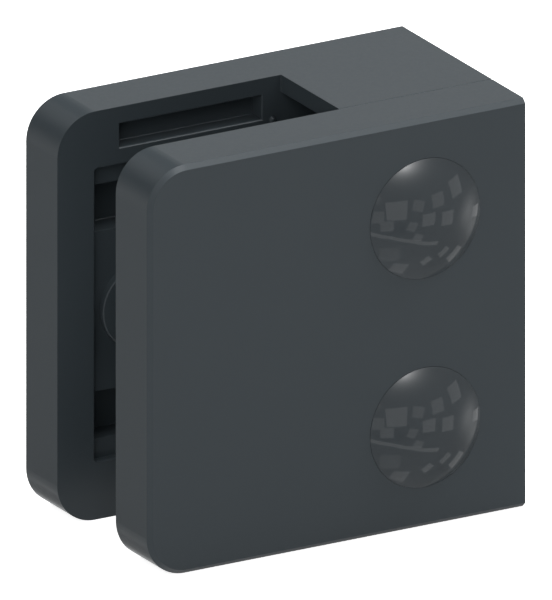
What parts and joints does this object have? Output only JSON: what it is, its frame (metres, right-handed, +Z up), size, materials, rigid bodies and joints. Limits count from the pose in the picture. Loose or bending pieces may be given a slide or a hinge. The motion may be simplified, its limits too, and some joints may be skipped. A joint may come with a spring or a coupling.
{
  "type": "glass panel clamp",
  "caption": "Square glass panel clamp: a casting with a rear jaw and hollow web, a screwed front jaw plate and domed screw caps, bolted by its flat side to a post.",
  "frame": {"origin": "centre of the post bolt's bore, on the flat face that meets the post; Y = 0 is the middle of the glass", "axes": "+X out of the mounting face into the post, -Y towards the cover plate and its caps, +Z up along the post"},
  "size_m": [0.045, 0.0281, 0.045],
  "materials": {
    "coated_casting": "fine satin powder coat, anthracite grey",
    "plated_screw": "bright zinc plate",
    "cap_plastic": "polished, anthracite grey"
  },
  "bodies": {
    "base": {"base_body": "coated_casting"},
    "cover": {"cover_plate": "coated_casting"},
    "screw_upper": {"clamp_screw_upper": "plated_screw"},
    "screw_lower": {"clamp_screw_lower": "plated_screw"},
    "cap_top": {"cap_upper": "cap_plastic"},
    "cap_bottom": {"cap_lower": "cap_plastic"}
  },
  "joints": [
    {"name": "cover_slide", "type": "slide", "parent": "base", "child": "cover", "axis": [0, -1, 0], "range_m": [0, 0.008]},
    {"name": "screw_upper_turn", "type": "hinge", "parent": "cover", "child": "screw_upper", "pos_m": [-0.012, -0.0076, 0.0115], "axis": [0, -1, 0], "range_deg": [0, 2880]},
    {"name": "screw_lower_turn", "type": "hinge", "parent": "cover", "child": "screw_lower", "pos_m": [-0.012, -0.0076, -0.0115], "axis": [0, -1, 0], "range_deg": [0, 2880]},
    {"name": "cap_upper_pull", "type": "slide", "parent": "cover", "child": "cap_top", "axis": [0, -1, 0], "range_m": [0, 0.006]},
    {"name": "cap_lower_pull", "type": "slide", "parent": "cover", "child": "cap_bottom", "axis": [0, -1, 0], "range_m": [0, 0.006]}
  ],
  "couplings": [
    {"joint": "screw_upper_turn", "follows": "cover_slide", "rad_per_m": 6283.2},
    {"joint": "screw_lower_turn", "follows": "cover_slide", "rad_per_m": 6283.2}
  ]
}
